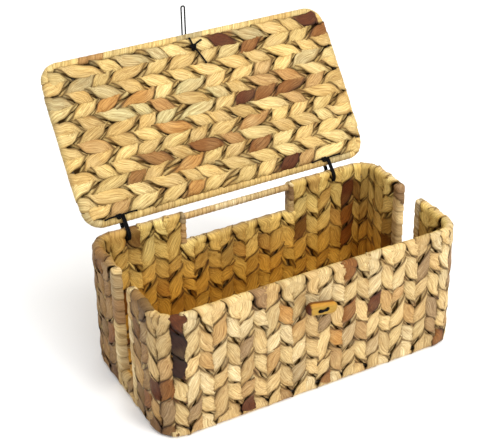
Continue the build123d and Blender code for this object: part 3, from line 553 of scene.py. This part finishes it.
def twisted_row(piece, rng, origin, along, across, out, low, high, turns, mirror, width,
                outer, inner, sway=None, inside_dye_and_shade=None, inner_narrow=1.0, face=1):
    """Two leaf strands twisted round the wires between low and high, and one straight between them.

    The two are one strand folded over the wire at each end. outer and inner hold a colour for
    each half turn, mirror is 1 or -1, and width is the room for the row at its outer face.
    face is 1 where the outer face is the full one, and -1 where the inner one is.
    Along the strand, values come in four parts: down, round the low wire, up, round the high one.
    """
    pitch = (high - low) / turns
    sway = SWAY_SHARE * width if sway is None else sway
    lean = mirror * math.pi * sway / pitch * STRAND_REACH * FOLD_LEAN
    t = np.linspace(0, turns, HALF_TURN_STEPS * turns + 1)
    shift = sum(np.sin(k * math.pi * t / turns) * rng.uniform(-TURN_SHIFT, TURN_SHIFT)
                for k in range(1, turns + 2))
    phase = math.pi * (t + shift)
    tilt = phase - 0.5 * FLATNESS * np.sin(2 * phase)
    psi = np.linspace(0, math.pi, ARC_STEPS + 1)[1:-1]
    none, full = 0 * psi, 1 + 0 * psi

    down_s = high - pitch * t
    near_low = np.exp(-((down_s - low) / CALM_REACH) ** 2)
    near_high = np.exp(-((high - down_s) / CALM_REACH) ** 2)
    last = math.cos(math.pi * turns)
    down_w = mirror * sway * np.sin(phase) + lean * (near_high - last * near_low)
    slide = 2 * psi / math.pi - 1
    down_lift, up_lift = (face * (1 - 2 * ((1 - side * face * np.cos(phase)) / 2) ** FULL_FACE)
                          for side in (1, -1))

    s = np.concatenate([down_s, low - STRAND_REACH * np.sin(psi),
                        down_s[::-1], high + STRAND_REACH * np.sin(psi)])
    w = np.concatenate([down_w, lean * last * slide, -down_w[::-1], lean * slide])
    n = np.concatenate([STRAND_REACH * down_lift, STRAND_REACH * last * np.cos(psi),
                        STRAND_REACH * up_lift[::-1], -STRAND_REACH * np.cos(psi)])
    radial_w = np.concatenate([mirror * np.sin(tilt), none, -mirror * np.sin(tilt)[::-1], none])
    radial_n = np.concatenate([np.cos(tilt), last * np.cos(psi), -np.cos(tilt)[::-1], -np.cos(psi)])
    radial_s = np.concatenate([0 * t, -np.sin(psi), 0 * t, np.sin(psi)])
    level_part = np.abs(np.cos(tilt)) ** PLATEAU
    flat = np.concatenate([level_part, full, level_part[::-1], full])
    near_end = near_high + near_low
    calm = 1 - CALM_SHARE * np.concatenate([near_end, full, near_end[::-1], full])

    u = np.arange(len(s)) / len(s)
    most = 2 * turns + 3
    s = s + wobble(rng, u, 1.3, most) * calm
    drift = sum(np.sin(k * math.pi * (high - s) / (high - low)) * rng.uniform(-DRIFT, DRIFT)
                for k in (1, 2, 3, 5))
    w = w + drift + wobble(rng, u, 0.55, most)
    n = n + wobble(rng, u, 0.2, most)
    twist = wobble(rng, u, 0.2, most)
    narrow = np.where(n < 0, 1 - (1 - inner_narrow) * np.clip(-n / STRAND_REACH, 0, 1), 1.0)
    centre = origin + s[:, None] * along + (w * narrow)[:, None] * across + n[:, None] * out
    ahead = unit(np.roll(centre, -1, 0) - np.roll(centre, 1, 0))
    radial = unit(radial_w[:, None] * across + radial_n[:, None] * out + radial_s[:, None] * along)
    wide = unit(np.cross(ahead, radial))
    thick = np.cross(wide, ahead)

    broad = BROAD_SHARE * width * (1 - BROAD_LOSS * (1 - flat**2))
    half_wide = SIDE_DEPTH + (broad - SIDE_DEPTH) * flat
    half_wide = half_wide * (1 + wobble(rng, u, 0.07, most)) * narrow
    crossing = max(LEAST_CROSSING, sway + CROSSING_MARGIN)
    half_thick = (crossing - (crossing - FLAT_THICKNESS) * flat) * (1 + wobble(rng, u, 0.06, most))
    angle = np.arange(SIDES) / SIDES * 2 * math.pi
    turned = angle[None] + twist[:, None]
    c, d = (np.sign(v) * np.abs(v) ** FULLNESS for v in (np.cos(turned), np.sin(turned)))
    lens = d * (1 - 0.2 * c**2) * np.where(d < 0, UNDERSIDE_SHARE, 1.0)
    rings = (centre[:, None] + wide[:, None] * (half_wide[:, None] * c)[..., None]
             + thick[:, None] * (half_thick[:, None] * lens)[..., None])
    rings = drawn_in(rings, origin, along, out, low, high)

    tint = half_turn_tints(outer, inner, np.clip(t + shift, 0, turns), turns, len(psi))
    at_along, at_out = (rings - origin) @ along, (rings - origin) @ out
    beyond = np.maximum(np.maximum(at_along - high, low - at_along), 0)
    # Painted shade: darker the deeper a point lies under the row's faces and past its ends, and
    # darker at the strand's two edges where it meets its neighbours
    shade = PAINTED_CREASE_SHADE + (1 - PAINTED_CREASE_SHADE) * smooth(np.hypot(at_out, beyond), CREASE_LOW, CREASE_HIGH)
    shade = shade * (1 - PAINTED_EDGE_SHADE * np.abs(np.cos(angle)) ** EDGE_SHARPNESS)[None]
    stain = np.clip(1.05 + wobble(rng, u, 0.5, most)[:, None] + 0.25 * c, STAIN_LEAST, 1)[..., None]
    browned = np.clip(wobble(rng, u, 1.2, most), 0, 1)[:, None] * smooth(c, 0.2, 0.9) * 0.5
    fade = (1 - stain) * np.clip(tint[:, None, 1:2] / PLAIN_LEAF[1], 0.1, 1)
    tint = tint[:, None] * (1 - fade) + PLAIN_LEAF * fade
    # The painted shade turns browner as it deepens; browned is the leaf's own browning
    tints = tint * shade[..., None] ** PAINTED_SHADE_POWER * (1 - browned[..., None] * (1 - OLD_LEAF))
    # The inner face takes the inside's deeper colour, its painted reflected light and painted shade
    if inside_dye_and_shade is not None:
        depth = smooth(at_out, 0.5, -3.5)[..., None]
        tints = tints * (1 - depth + depth * inside_dye_and_shade(rings[..., 2]))

    length = np.cumsum(np.linalg.norm(centre - np.roll(centre, 1, 0), axis=1))
    label = rng.uniform(0, 1000)
    fibres = np.stack([length[:, None] + label + 0 * c,
                       half_wide[:, None] * np.cos(angle)[None] + 0 * c,
                       half_thick[:, None] * 1.6 * np.sin(angle)[None] + 0 * c], -1)
    fibres[..., 1:] += FIBRE_SPREAD * rng.random(2)
    piece.tube(rings, tints, fibres, closed=True)
    core_strand(piece, origin, along, across, out, low, high, turns, label)


WRAP_SIDES = 20


def wrapped_tube(piece, rng, path, out, half_out, half_side, pitch, lift, tones, corner=2.0,
                 round_start=0.0, round_end=0.0, steps=10, shade_low=0.6, same_leaf=7):
    """A core wound with a strip: path is its line, out one side of its section.

    lift is how far the edge of a turn stands up, corner is 2 for a round section and more for a
    squarer one, and same_leaf is how many turns have one tone.
    """
    gaps = np.linalg.norm(np.diff(path, axis=0), axis=1)
    at = np.concatenate([[0], np.cumsum(gaps)])
    total = at[-1]
    count = max(8, round(total / pitch * steps))
    s = np.linspace(0, total, count + 1)
    centre = np.stack([np.interp(s, at, path[:, k]) for k in range(3)], -1)
    ahead = unit(np.gradient(centre, axis=0))
    side = unit(np.cross(ahead, out[None]))
    face = np.cross(side, ahead)
    angle = np.arange(WRAP_SIDES) / WRAP_SIDES * 2 * math.pi
    c, d = np.cos(angle), np.sin(angle)
    power = 2 / corner
    cx = np.sign(c) * np.abs(c) ** power
    dx = np.sign(d) * np.abs(d) ** power
    drift = wobble(rng, s / max(total, 1), 0.18, 9)
    winding = s[:, None] / pitch + drift[:, None] - angle[None] / (2 * math.pi)
    turn = np.floor(winding).astype(int)
    part = winding - turn
    rise = smooth(part, 0, 0.12) * (1 - 0.75 * part) + 0.25 * np.sin(math.pi * part)
    grow = lift * rise
    close = np.ones_like(s)
    for from_end, radius in ((s, round_start), (total - s, round_end)):
        if radius:
            close *= np.sqrt(np.clip(1 - np.clip(1 - from_end / radius, 0, 0.97) ** 2, 0, 1))
    a = ((half_side - lift) * cx)[None] * close[:, None] + grow * c[None] * close[:, None]
    b = ((half_out - lift) * dx)[None] * close[:, None] + grow * d[None] * close[:, None]
    rings = centre[:, None] + side[:, None] * a[..., None] + face[:, None] * b[..., None]
    turns = turn.max() - turn.min() + 1
    colours = np.repeat(leaf_tones(rng, turns // same_leaf + 1, tones), same_leaf, 0)[:turns]
    colours = colours * rng.uniform(0.93, 1.05, (turns, 1))
    # Painted shade in the groove where each turn comes out from under the one before and where it
    # dips under the next
    groove_shade = 1 - 0.35 * smooth(part, 0.8, 1.0)
    shade = shade_low + (1 - shade_low) * smooth(part, 0.0, 0.2) * groove_shade
    tints = colours[turn - turn.min()] * shade[..., None] ** PAINTED_SHADE_POWER
    around = 2 * math.pi * max(half_side, half_out)
    fibres = np.stack([(turn + angle[None] / (2 * math.pi)) * around + rng.uniform(0, 900),
                       part * pitch + 0 * turn, 0 * part + turn * 3.1], -1)
    piece.tube(rings, tints, fibres, closed=False)


def frames_along(path, closed):
    """Tangent and two side directions along a path, carried on without twisting."""
    if closed:
        ahead = unit(np.roll(path, -1, 0) - np.roll(path, 1, 0))
    else:
        ahead = unit(np.gradient(path, axis=0))
    start = X if abs(ahead[0] @ X) < 0.8 else Z
    side = unit(np.cross(ahead[0], start))
    sides = [side]
    for k in range(1, len(path)):
        side = side - ahead[k] * (side @ ahead[k])
        side = side / np.linalg.norm(side)
        sides.append(side)
    sides = np.array(sides)
    return ahead, sides, np.cross(ahead, sides)


def resample(path, step, closed):
    points = np.vstack([path, path[:1]]) if closed else path
    at = np.concatenate([[0], np.cumsum(np.linalg.norm(np.diff(points, axis=0), axis=1))])
    count = max(6, int(round(at[-1] / step)))
    s = np.linspace(0, at[-1], count, endpoint=not closed)
    return np.stack([np.interp(s, at, points[:, k]) for k in range(3)], -1), s


def laid_cord(piece, rng, path, radius, closed=False, lay=5.0, step=0.5, fray=False):
    """A three-strand cord along a path, with one turn of its strands in each lay."""
    line, s = resample(np.asarray(path, float), step, closed)
    _, side, other = frames_along(line, closed)
    angle = np.arange(12) / 12 * 2 * math.pi
    turns = round((s[-1] + step) / lay) / (s[-1] + step) if closed else 1 / lay
    groove = np.abs(np.cos(1.5 * (angle[None] - 2 * math.pi * s[:, None] * turns)))
    reach = radius * (0.8 + 0.2 * groove**0.6)
    if not closed:
        ends = np.minimum(s, s[-1] - s)
        reach = reach * np.sqrt(np.clip(0.15 + ends / radius, 0, 1))[:, None]
    if fray:
        reach = reach * (1 + 0.5 * smooth(s, s[-1] - 3 * radius, s[-1]))[:, None]
    rings = (line[:, None] + side[:, None] * (reach * np.cos(angle))[..., None]
             + other[:, None] * (reach * np.sin(angle))[..., None])
    fibres = np.stack([s[:, None] + rng.uniform(0, 500) + 0 * reach, 4 * np.cos(angle) + 0 * reach,
                       4 * np.sin(angle) + 0 * reach], -1)
    piece.tube(rings, np.full(rings.shape, 0.01), fibres, closed)


def knot(piece, rng, centre, size, radius, first, second, third):
    """An overhand knot drawn up small, in the directions given."""
    t = np.linspace(0, 2 * math.pi, 60, endpoint=False)
    local = np.stack([np.sin(t) + 2 * np.sin(2 * t), np.cos(t) - 2 * np.cos(2 * t),
                      -1.1 * np.sin(3 * t)], -1) * size / 3
    path = centre + local @ np.array([first, second, third])
    laid_cord(piece, rng, path, radius, closed=True, lay=3.0, step=0.35)


def bent(points, samples=12):
    """A smooth line through a few points."""
    points = np.array(points, float)
    padded = np.vstack([2 * points[0] - points[1], points, 2 * points[-1] - points[-2]])
    line = []
    for value in np.linspace(0, len(points) - 1, samples * (len(points) - 1) + 1):
        k = min(int(value), len(points) - 2)
        f = value - k
        p0, p1, p2, p3 = padded[k:k + 4]
        line.append(0.5 * (2 * p1 + (p2 - p0) * f + (2 * p0 - 5 * p1 + 4 * p2 - p3) * f**2
                           + (3 * p1 - p0 - 3 * p2 + p3) * f**3))
    return np.array(line)


# ------------------------------ woven rows of the box

# Inner faces: the leaf's deeper gold with painted reflected light near the rim, and painted shade
# near the floor
INSIDE_TOP_DYE_AND_REFLECTION, INSIDE_FLOOR_DYE_AND_SHADE = np.array([1.10, 1.08, 0.70]), np.array([1.05, 0.74, 0.19])
# Painted shade: the left end, turned away from the lamps, is darker and browner than the front
LEFT_END_PAINTED_SHADE = np.array([0.47, 0.37, 0.28])


def inside_dye_and_shade(height):
    """The inner faces are a deeper gold than the outer ones: partly the leaf's own colour and
    partly painted warm light reflected inside the box, with painted shade that makes them darker
    and redder towards the floor.
    """
    up = smooth(height, 35.0, 125.0)[..., None]
    return INSIDE_FLOOR_DYE_AND_SHADE + (INSIDE_TOP_DYE_AND_REFLECTION - INSIDE_FLOOR_DYE_AND_SHADE) * up


def row_tones(rng, node, row, turns, tones=TONES, end_shade=1.0):
    """Colours of the half turns on the outer and inner face of a row, with its odd leaves."""
    # end_shade darkens the outer face with painted shade
    outer = leaf_tones(rng, turns + 1, tones) * end_shade
    inner = leaf_tones(rng, turns + 1, tones)
    inner[0], inner[-1] = outer[0], outer[-1]
    for weave, colours in ((node, outer), (node + "_in", inner)):
        for step in range(turns + 1):
            name = ACCENTS.get((weave, row, step))
            if name:
                colours[step] = NAMED_TONES[name]
    return outer, inner


def wall(node, seed, rows, out_of, across_of, low=BASE_WIRE, high=RIM_WIRE, turns=5,
         phase=0, inner_narrow=1.0, sway=None, end_shade=1.0, face=1):
    """One woven wall: rows are (origin, width), with the direction of each row's outer face."""
    rng = np.random.default_rng(seed)
    piece = Piece()
    for k, (origin, width) in enumerate(rows):
        outer, inner = row_tones(rng, node, k, turns, end_shade=end_shade)
        mirror = 1 if (k + phase) % 2 else -1
        twisted_row(piece, rng, origin, Z, across_of(k), out_of(k), low, high, turns, mirror, width,
                    outer, inner, sway, inside_dye_and_shade, inner_narrow, face)
    piece.build(node + "_strands", "box", "woven_leaf", LEAF, node)


def span_rows(start, end, count, fixed, axis):
    """Origins and width of equal rows between two ends, along X (axis 0) or Y (axis 1)."""
    width = (end - start) / count
    centres = start + width * (np.arange(count) + 0.5)
    return [(np.array([c, fixed, 0.0]) if axis == 0 else np.array([fixed, c, 0.0]), width)
            for c in centres]


wall("front_weave", 11, span_rows(-CORNER_X, CORNER_X, 20, -WALL_Y, 0), lambda k: -Y, lambda k: X)

for corner_name, corner_seed, sx, sy, start, corner_end_shade, corner_face in (
    ("front_left", 21, -1, -1, 180, 1.0, 1),
    ("front_right", 22, 1, -1, 270, 1.0, 1),
    ("back_right", 23, 1, 1, 0, 1.0, -1),
    ("back_left", 24, -1, 1, 90, LEFT_END_PAINTED_SHADE, 1),
):
    turned = [math.radians(start + 15 + 30 * k) for k in range(3)]
    outs = [np.array([math.cos(a), math.sin(a), 0.0]) for a in turned]
    arounds = [np.array([-math.sin(a), math.cos(a), 0.0]) for a in turned]
    middle = np.array([sx * CORNER_X, sy * CORNER_Y, 0.0])
    corner_rows = [(middle + CORNER_WALL_RADIUS * o, CORNER_ROW_WIDTH) for o in outs]
    wall(corner_name + "_corner_weave", corner_seed, corner_rows, lambda k: outs[k],
         lambda k: arounds[k], phase=1, inner_narrow=0.62, sway=3.1, end_shade=corner_end_shade,
         face=corner_face)

for end_name, end_seed, side_sign, y_low, y_high in (
    ("left_front", 31, -1, -CORNER_Y, -POST_EDGE),
    ("left_rear", 32, -1, POST_EDGE, CORNER_Y),
    ("right_front", 33, 1, -CORNER_Y, -POST_EDGE),
    ("right_rear", 34, 1, POST_EDGE, CORNER_Y),
):
    wall(end_name + "_weave", end_seed, span_rows(y_low, y_high, 2, side_sign * WALL_X, 1),
         lambda k: X * side_sign, lambda k: Y * side_sign, end_shade=LEFT_END_PAINTED_SHADE if side_sign < 0 else 1.0,
         face=-side_sign)

for sill_name, sill_seed, side_sign in (("left", 41, -1), ("right", 42, 1)):
    wall(sill_name + "_slot_sill_weave", sill_seed,
         span_rows(-SILL_EDGE, SILL_EDGE, 2, side_sign * WALL_X, 1),
         lambda k: X * side_sign, lambda k: Y * side_sign, high=SLOT_SILL_WIRE, turns=1, sway=1.5)

for back_name, back_seed, x_low, x_high, back_count, more in (
    ("back_left", 51, -CORNER_X, -WINDOW_EDGE, 5, {}),
    ("back_right", 52, WINDOW_EDGE, CORNER_X, 5, {}),
    ("back_centre", 53, -CENTRE_EDGE, CENTRE_EDGE, 9,
     {"high": WINDOW_SILL_WIRE, "turns": 4, "phase": 1}),
):
    wall(back_name + "_weave", back_seed, span_rows(x_low, x_high, back_count, WALL_Y, 0),
         lambda k: Y, lambda k: -X, face=-1, **more)

# ------------------------------ floor

floor_rng = np.random.default_rng(61)
floor_piece = Piece()
FLOOR_ROWS, FLOOR_DEPTH, FLOOR_REACH, FLOOR_TURNS = 11, 145.4, 148.0, 11
# How much shorter the outermost rows are at each end
FLOOR_SHORT_ROW = 4.0
for row in range(FLOOR_ROWS):
    row_width = FLOOR_DEPTH / FLOOR_ROWS
    row_y = -FLOOR_DEPTH / 2 + row_width * (row + 0.5)
    row_reach = FLOOR_REACH - (FLOOR_SHORT_ROW if row in (0, FLOOR_ROWS - 1) else 0.0)
    outer_tones = leaf_tones(floor_rng, FLOOR_TURNS + 1)
    inner_tones = leaf_tones(floor_rng, FLOOR_TURNS + 1)
    # The floor's upper face takes the inside's deeper colour and painted shade at its lowest
    twisted_row(floor_piece, floor_rng, np.array([0, row_y, HALF_ROPE]), X, Y, Z, -row_reach,
                row_reach, FLOOR_TURNS, 1 if row % 2 else -1, row_width, outer_tones * INSIDE_FLOOR_DYE_AND_SHADE,
                inner_tones)
floor_piece.build("floor_weave_strands", "box", "woven_leaf", LEAF, "floor_weave")

# ------------------------------ wrapped posts and rim


def wrap_object(node, body, seed, path, out, tones=TONES, **form):
    """A core wound with a strip, in place of a CAD node."""
    piece = Piece()
    rng = np.random.default_rng(seed)
    wrapped_tube(piece, rng, np.array(path, float), out, tones=tones, **form)
    piece.build(node + "_strip", body, "leaf_strip", STRIP, node)


POST_Y, POST_BASE = 19.0, 0.3
for post_name, post_seed, post_x, post_y in (("left_front", 71, -WALL_X, -POST_Y),
                                             ("left_rear", 72, -WALL_X, POST_Y),
                                             ("right_front", 73, WALL_X, -POST_Y),
                                             ("right_rear", 74, WALL_X, POST_Y)):
    wrap_object(post_name + "_post_wrap", "box", post_seed,
                [(post_x, post_y, POST_BASE), (post_x, post_y, BODY_HEIGHT)], X,
                half_out=5.6, half_side=5.2, pitch=13.5, lift=0.9, corner=3.2,
                round_start=2.0, round_end=4.5, steps=14, same_leaf=2)

WINDOW_POST_X, WINDOW_WRAP_BASE = 62.5, 102.5
for post_name, post_seed, post_x in (("left", 75, -WINDOW_POST_X), ("right", 76, WINDOW_POST_X)):
    wrap_object("window_wrap_" + post_name, "box", post_seed,
                [(post_x, WALL_Y, WINDOW_WRAP_BASE), (post_x, WALL_Y, BODY_HEIGHT)], Y,
                half_out=5.6, half_side=3.9, pitch=8.0, lift=0.7, corner=3.0,
                round_end=4.0, steps=12, same_leaf=2)

wrap_object("window_rim_wrap", "box", 77,
            [(-WINDOW_RIM_EDGE, WALL_Y, RIM_WIRE), (WINDOW_RIM_EDGE, WALL_Y, RIM_WIRE)], Y,
            half_out=3.6, half_side=3.6, pitch=5.0, lift=0.4, shade_low=0.7)

# ------------------------------ lid

LID_ROWS, LID_TURNS = 12, 11
# How much shorter the rows by the bent corners are at each end, by their number from the edge
LID_SHORT_ROWS = {0: 7.5, 1: 1.0}
lid_rng = np.random.default_rng(81)
lid_piece = Piece()
lid_start = LID_WRAP_RADIUS + LID_WRAP_GAP
lid_width = (LID_SPAN - 2 * lid_start) / LID_ROWS
for row in range(LID_ROWS):
    row_up = lid_start + lid_width * (row + 0.5)
    row_reach = LID_WIRE_X - LID_SHORT_ROWS.get(min(row, LID_ROWS - 1 - row), 0.0)
    outer_tones, inner_tones = row_tones(lid_rng, "lid_weave", row, LID_TURNS, LID_TONES)
    twisted_row(lid_piece, lid_rng, lid_point(0, row_up, 0), X, LID_UP, LID_OUT, -row_reach,
                row_reach, LID_TURNS, 1 if row % 2 else -1, lid_width, outer_tones, inner_tones)
lid_piece.build("lid_weave_strands", "lid", "woven_leaf", LEAF, "lid_weave")


def edge_path(up, side):
    """Line of a long edge of the lid with the bend at each end; side is 1 at the front edge."""
    bend = [math.radians(a) for a in np.linspace(0, 90, 13)]
    inner_x = LID_WIRE_X - LID_BEND

    def corner(sign, a):
        return lid_point(sign * (inner_x + LID_BEND * math.cos(a)),
                         up - side * LID_BEND * (1 - math.sin(a)), 0)

    return np.array([corner(-1, a) for a in bend] + [corner(1, a) for a in reversed(bend)])


wrap_object("lid_front_wrap", "lid", 82, edge_path(LID_SPAN, 1), LID_OUT, LID_TONES,
            half_out=4.1, half_side=4.1, pitch=9.0, lift=0.3, round_start=2.0, round_end=2.0,
            shade_low=0.8, same_leaf=3)
wrap_object("lid_rear_wrap", "lid", 83, edge_path(0.0, -1), LID_OUT, LID_TONES,
            half_out=4.1, half_side=4.1, pitch=6.5, lift=0.35, round_start=2.0, round_end=2.0,
            shade_low=0.75, same_leaf=4)

# ------------------------------ cords

# The turns of a tie lie 0.4 mm nearer each other than in the solids, so that no light comes through
TIE_RADIUS, TIE_PITCH = 1.1, 2.0
TIE_LID_RADIUS, TIE_RIM_RADIUS = 5.4, 6.9
TAIL_RADIUS, LOOP_TAIL_RADIUS = 0.8, 0.95


def belt(x):
    """One turn of cord round the rim and the lid's rear edge."""
    lid_centre, rim_centre = np.array([HINGE_Y, HINGE_Z]), np.array([WALL_Y, RIM_WIRE])
    gap = rim_centre - lid_centre
    heading = math.atan2(gap[1], gap[0])
    spread = math.acos((TIE_LID_RADIUS - TIE_RIM_RADIUS) / np.linalg.norm(gap))
    over = np.linspace(heading + spread, heading + 2 * math.pi - spread, 30)
    under = np.linspace(heading - spread, heading + spread, 30)
    points = [lid_centre + TIE_LID_RADIUS * np.array([math.cos(a), math.sin(a)]) for a in over]
    points += [rim_centre + TIE_RIM_RADIUS * np.array([math.cos(a), math.sin(a)]) for a in under]
    return np.array([(x, p[0], p[1]) for p in points])


for tie_name, tie_x, tie_seed in (("left", -122.0, 91), ("right", 113.0, 92)):
    tie_rng = np.random.default_rng(tie_seed)
    tie = Piece()
    for turn_x in (tie_x - TIE_PITCH / 2, tie_x + TIE_PITCH / 2):
        laid_cord(tie, tie_rng, belt(turn_x), TIE_RADIUS, closed=True)
    tie.build("hinge_tie_" + tie_name + "_cord", "box", "black_cord", CORD, "hinge_tie_" + tie_name)
    tails = Piece()
    knot_x = tie_x - 4.5
    knot_centre = lid_point(knot_x, 2.4, 5.7)
    knot(tails, tie_rng, knot_centre, 2.5, 0.85, X, LID_UP, LID_OUT)
    left_tail = [knot_centre, lid_point(knot_x - 6, 3.0, 6.0), lid_point(knot_x - 15, 2.0, 5.6)]
    right_tail = [knot_centre, lid_point(tie_x + 1, 3.0, 7.2), lid_point(tie_x + 10, 3.6, 5.8),
                  lid_point(tie_x + 16, 3.2, 5.6)]
    for tail in (left_tail, right_tail):
        laid_cord(tails, tie_rng, bent(tail), TAIL_RADIUS, lay=3.5, fray=True)
    tails.build("tie_knot_" + tie_name + "_cord", "lid", "black_cord", CORD, "tie_knot_" + tie_name)

# Closing loop: a free cord that leaves the knot, goes over the lid's front edge and comes back
LOOP_PIVOT = lid_point(LOOP_X, LID_SPAN, 0)
LOOP_RADIUS = 0.8
LOOP_WRAP, LOOP_HALF, LOOP_TIP, LOOP_START = 5.1, 1.9, 33.0, math.radians(-195)


def loop_leg(x):
    """Corner points of one leg: round the lid's edge from the knot, then up to the tip."""
    corners = [(LOOP_WRAP * math.cos(LOOP_START), LOOP_WRAP * math.sin(LOOP_START)),
               (-LOOP_WRAP, -LOOP_WRAP), (LOOP_WRAP, -LOOP_WRAP), (LOOP_WRAP, LOOP_WRAP),
               (LOOP_WRAP, LOOP_TIP - 2 * LOOP_HALF), (LOOP_WRAP, LOOP_TIP)]
    return [LOOP_PIVOT + np.array([x, back, up]) for back, up in corners]


loop_points = loop_leg(-LOOP_HALF) + loop_leg(LOOP_HALF)[::-1]
loop_curve = bpy.data.curves.new("closing_loop_cord", "CURVE")
loop_curve.dimensions = "3D"
loop_curve.bevel_depth = LOOP_RADIUS * MM
loop_curve.bevel_resolution = 4
loop_curve.resolution_u = 12
loop_spline = loop_curve.splines.new("NURBS")
loop_spline.points.add(len(loop_points) - 1)
for spline_point, place in zip(loop_spline.points, loop_points):
    spline_point.co = (*(place * MM), 1)
loop_spline.order_u = 3
loop_spline.use_endpoint_u = True
loop_curve.materials.append(LOOP)
loop_cord = new_object("closing_loop_cord", loop_curve)
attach(loop_cord, "closing_loop")
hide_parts("closing_loop")

# Knot of the loop on the lid's inner face, with its free ends
loop_knot_rng = np.random.default_rng(93)
loop_knot_piece = Piece()
LOOP_KNOT_UP = 148.8
knot_place = lid_point(LOOP_X + 1.5, LOOP_KNOT_UP, 7.7)
knot(loop_knot_piece, loop_knot_rng, knot_place, 3.1, 1.05, X, LID_UP, LID_OUT)
for tail in (
    [knot_place, lid_point(8, LOOP_KNOT_UP + 3.5, 8.0), lid_point(14.5, LOOP_KNOT_UP + 6.0, 6.5)],
    [knot_place, lid_point(7, LOOP_KNOT_UP - 7.0, 7.6), lid_point(12.5, LOOP_KNOT_UP - 19, 6.3)],
    [knot_place, lid_point(2.5, LOOP_KNOT_UP + 6, 7.4), lid_point(LOOP_X, LID_SPAN - 1.6, 6.9)],
):
    laid_cord(loop_knot_piece, loop_knot_rng, bent(tail), LOOP_TAIL_RADIUS, lay=3.5, fray=True)
loop_knot_piece.build("loop_knot_cord", "lid", "black_cord", CORD, "loop_knot")

# ------------------------------ toggle

toggle_rng = np.random.default_rng(94)
THREAD_FRONT, THREAD_BACK, THREAD_BEND = -96.25, -85.1, 1.5
THREAD_RADIUS, ANCHOR_RADIUS, THREAD_OFFSET = 0.85, 1.15, 0.7
# The two turns of the thread draw together between the holes
WAIST_REACH, WAIST_DRAW = 2.0, 0.65
thread_piece = Piece()
for thread_z in (TOGGLE_HEIGHT - THREAD_OFFSET, TOGGLE_HEIGHT + THREAD_OFFSET):
    square = [np.array([TOGGLE_X + side * THREAD_HALF, y, thread_z])
              for side, y in ((-1, THREAD_FRONT), (1, THREAD_FRONT),
                              (1, THREAD_BACK), (-1, THREAD_BACK))]
    thread_path = []
    for k, corner_point in enumerate(square):
        start = corner_point + unit(square[k - 1] - corner_point) * THREAD_BEND
        stop = corner_point + unit(square[(k + 1) % 4] - corner_point) * THREAD_BEND
        for a in np.linspace(0, 1, 7):
            thread_path.append((1 - a) ** 2 * start + 2 * a * (1 - a) * corner_point + a**2 * stop)
        if k == 0:
            for x in np.linspace(-WAIST_REACH, WAIST_REACH, 9):
                waist = 1 - WAIST_DRAW * math.cos(math.pi * x / (2 * WAIST_REACH)) ** 2
                thread_path.append(np.array([TOGGLE_X + x, THREAD_FRONT,
                                             TOGGLE_HEIGHT + (thread_z - TOGGLE_HEIGHT) * waist]))
    laid_cord(thread_piece, toggle_rng, thread_path, THREAD_RADIUS, closed=True, lay=3.5)
thread_piece.build("toggle_thread_cord", "toggle", "black_cord", CORD, "toggle_thread")

anchor_piece = Piece()
laid_cord(anchor_piece, toggle_rng, bent([(TOGGLE_X, -84.2, TOGGLE_HEIGHT),
                                          (TOGGLE_X + 0.3, -78, TOGGLE_HEIGHT),
                                          (TOGGLE_X, -70.6, TOGGLE_HEIGHT)]),
          ANCHOR_RADIUS, lay=4.0)
knot(anchor_piece, toggle_rng, np.array([TOGGLE_X, -70.4, TOGGLE_HEIGHT]), 2.3, 0.9, X, Z, Y)
anchor_piece.build("toggle_anchor_cord", "box", "black_cord", CORD, "toggle_anchor")

# ------------------------------ CAD nodes that stay

for node_name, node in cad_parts.items():
    if node.hide_render:
        continue
    finish_material = WOOD if node_name == "toggle" else WIRE
    if not node.material_slots:
        node.data.materials.append(finish_material)
    for material_slot in node.material_slots:
        material_slot.material = finish_material

# ------------------------------ floor of the studio

table_mesh = bpy.data.meshes.new("table")
table_half = 6.0
table_corners = [(x * table_half, y * table_half, 0)
                 for x, y in ((-1, -1), (1, -1), (1, 1), (-1, 1))]
table_mesh.from_pydata(table_corners, [], [(0, 1, 2, 3)])
table_mesh.materials.append(floor_material("pale_floor"))
table = new_object("table", table_mesh)
